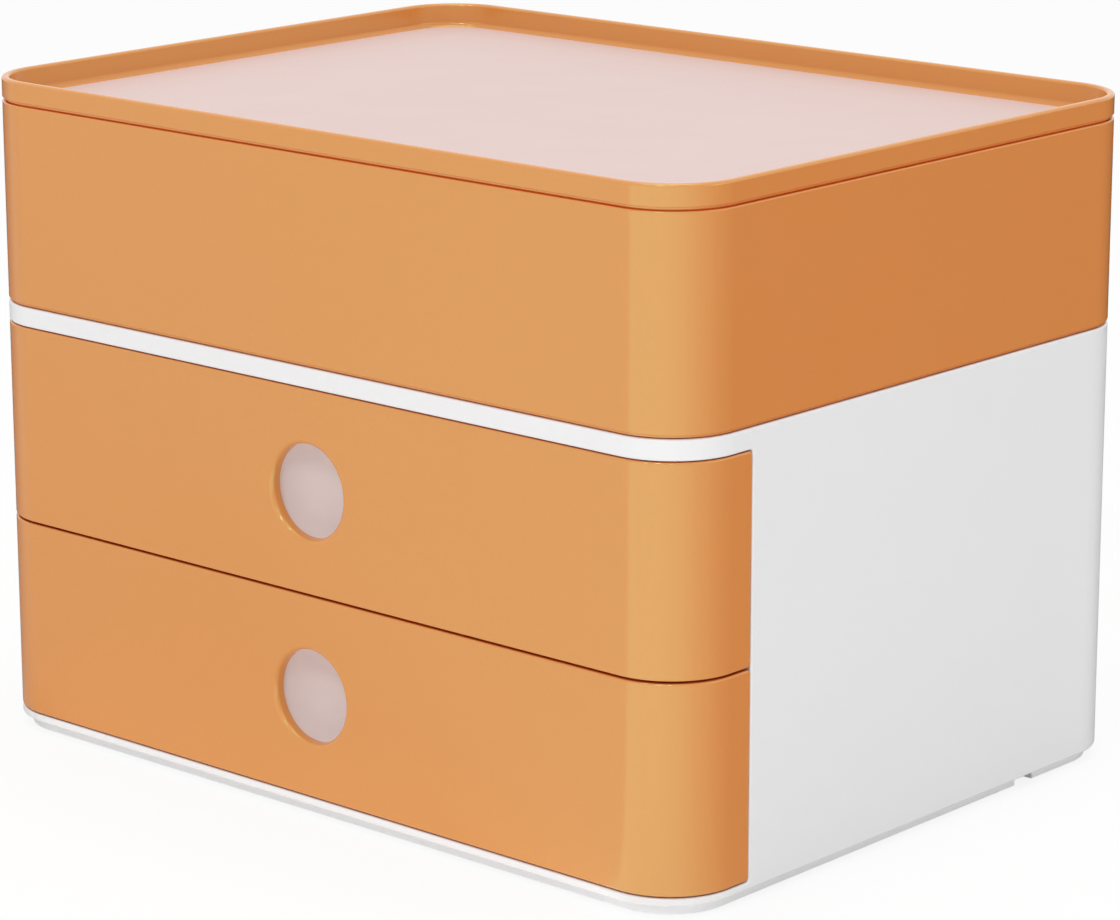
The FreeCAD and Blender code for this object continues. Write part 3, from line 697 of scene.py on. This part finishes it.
def addCamera():
    data = bpy.data.cameras.new("camera")
    data.lens = view["lens"]
    data.sensor_width = view["sensor"]
    data.clip_start = view["clipStart"]
    data.clip_end = view["clipEnd"]
    camera = bpy.data.objects.new("camera", data)
    bpy.context.scene.collection.objects.link(camera)
    tilt = Matrix.Rotation(math.radians(view["roll"]), 3, "Z").to_quaternion()
    camera.rotation_mode = "QUATERNION"
    away = direction(view["azimuth"], view["elevation"])
    camera.rotation_quaternion = away.to_track_quat("Z", "Y") @ tilt
    camera.location = view["place"]
    bpy.context.scene.camera = camera


def direction(azimuth, elevation):
    # unit vector from the object: azimuth turns from the front towards the right side
    around, up = math.radians(azimuth), math.radians(elevation)
    reach = math.cos(up)
    return Vector((math.sin(around) * reach, -math.cos(around) * reach, math.sin(up)))


def addLamp(name, azimuth, elevation, distance, size, strength):
    data = bpy.data.lights.new(name, "AREA")
    data.size = size
    data.energy = strength
    lamp = bpy.data.objects.new(name, data)
    bpy.context.scene.collection.objects.link(lamp)
    away = direction(azimuth, elevation)
    lamp.location = Vector(studio["aim"]) + away * distance
    lamp.rotation_mode = "QUATERNION"
    lamp.rotation_quaternion = away.to_track_quat("Z", "Y")
    lamp.visible_camera = False
    return lamp


def addBounce(middle, width, depth, strength):
    data = bpy.data.lights.new("floorBounce", "AREA")
    data.shape = "RECTANGLE"
    data.size = width
    data.size_y = depth
    data.energy = strength
    lamp = bpy.data.objects.new("floorBounce", data)
    bpy.context.scene.collection.objects.link(lamp)
    lamp.location = middle
    lamp.rotation_euler = (math.pi, 0, 0)       # a lamp shines down its own axis
    lamp.visible_camera = False
    lamp.visible_glossy = False


def seenDirectly(tree):
    # 1 where the camera, a gloss or a glass looks, 0 for the light that falls on things
    rays = addNode(tree, "ShaderNodeLightPath")
    mask = rays.outputs["Is Camera Ray"]
    for other in ("Is Glossy Ray", "Is Transmission Ray"):
        either = addNode(tree, "ShaderNodeMath", operation="MAXIMUM")
        tree.links.new(mask, either.inputs[0])
        tree.links.new(rays.outputs[other], either.inputs[1])
        mask = either.outputs[0]
    return mask


def floorMaterial():
    # pale matt floor that keeps its shadow and is seen part of the way to plain white
    material = bpy.data.materials.new("paleFloor")
    material.use_nodes = True
    tree = material.node_tree
    shader = tree.nodes["Principled BSDF"]
    shader.inputs["Base Color"].default_value = (*studio["floorColour"], 1)
    shader.inputs["Roughness"].default_value = studio["floorRoughness"]
    plain = addNode(tree, "ShaderNodeEmission")
    plain.inputs["Strength"].default_value = 1.0
    share = addNode(tree, "ShaderNodeMath", operation="MULTIPLY")
    share.inputs[1].default_value = studio["floorLift"]
    mix = addNode(tree, "ShaderNodeMixShader")
    link = tree.links.new
    link(seenDirectly(tree), share.inputs[0])
    link(share.outputs[0], mix.inputs["Fac"])
    link(shader.outputs["BSDF"], mix.inputs[1])
    link(plain.outputs["Emission"], mix.inputs[2])
    link(mix.outputs["Shader"], tree.nodes["Material Output"].inputs["Surface"])
    return material


def addFloor():
    bpy.ops.object.select_all(action="DESELECT")
    bpy.ops.mesh.primitive_plane_add(size=studio["floorSize"])
    floor = bpy.context.object
    floor.name = "floor"
    floor.data.materials.append(floorMaterial())


def addCard():
    # a full fan of card on the floor, brightest in front, dark beyond the right side and behind
    turns = [turn for turn, glow in studio["cardGlow"]]
    brightest = max(glow for turn, glow in studio["cardGlow"])
    edge = [direction(turn, 0) * studio["cardReach"]
            for turn in range(turns[0], turns[-1] + 1, studio["cardStep"])]
    mesh = bpy.data.meshes.new("floorCard")
    mesh.from_pydata([(0, 0, 0)] + [tuple(place) for place in edge], [],
                     [(0, index, index + 1) for index in range(1, len(edge))])
    card = bpy.data.objects.new("floorCard", mesh)
    card.location = (*studio["cardCentre"], studio["cardHeight"])
    bpy.context.scene.collection.objects.link(card)
    material = bpy.data.materials.new("cardGlow")
    material.use_nodes = True
    tree = material.node_tree
    tree.nodes.remove(tree.nodes["Principled BSDF"])
    place = addNode(tree, "ShaderNodeTexCoord")
    around = addNode(tree, "ShaderNodeTexGradient", gradient_type="RADIAL")
    fade = addNode(tree, "ShaderNodeValToRGB")
    points = fade.color_ramp.elements
    while len(points) < len(turns):
        points.new(1.0)
    for point, (turn, glow) in zip(points, studio["cardGlow"]):
        point.position = turn / 360 + 0.25      # the gradient starts a quarter turn from the front
        point.color = (glow / brightest,) * 3 + (1,)
    glow = addNode(tree, "ShaderNodeEmission")
    glow.inputs["Strength"].default_value = brightest
    link = tree.links.new
    link(place.outputs["Object"], around.inputs["Vector"])
    link(around.outputs["Fac"], fade.inputs["Fac"])
    link(fade.outputs["Color"], glow.inputs["Color"])
    link(glow.outputs["Emission"], tree.nodes["Material Output"].inputs["Surface"])
    mesh.materials.append(material)
    card.visible_camera = False
    card.visible_diffuse = False
    card.visible_shadow = False
    card.visible_transmission = False


def addWorld():
    # dimmer for the light it gives, plain white where it is seen
    world = bpy.data.worlds.new("studioWorld")
    world.use_nodes = True
    tree = world.node_tree
    dim = tree.nodes["Background"]
    dim.inputs["Color"].default_value = (1, 1, 1, 1)
    dim.inputs["Strength"].default_value = studio["worldStrength"]
    seen = addNode(tree, "ShaderNodeBackground")
    seen.inputs["Color"].default_value = (1, 1, 1, 1)
    seen.inputs["Strength"].default_value = 1.0
    mix = addNode(tree, "ShaderNodeMixShader")
    link = tree.links.new
    link(seenDirectly(tree), mix.inputs["Fac"])
    link(dim.outputs["Background"], mix.inputs[1])
    link(seen.outputs["Background"], mix.inputs[2])
    link(mix.outputs["Shader"], tree.nodes["World Output"].inputs["Surface"])
    bpy.context.scene.world = world


addCamera()
addFloor()
addWorld()
addCard()
for name, settings in studio["lamps"].items():
    addLamp(name, *settings)
for name, settings in studio["glints"].items():
    glint = addLamp(name, *settings)
    glint.visible_diffuse = False
addBounce(**studio["bounce"])
bpy.context.scene.view_settings.view_transform = "Standard"
print("studio ready")
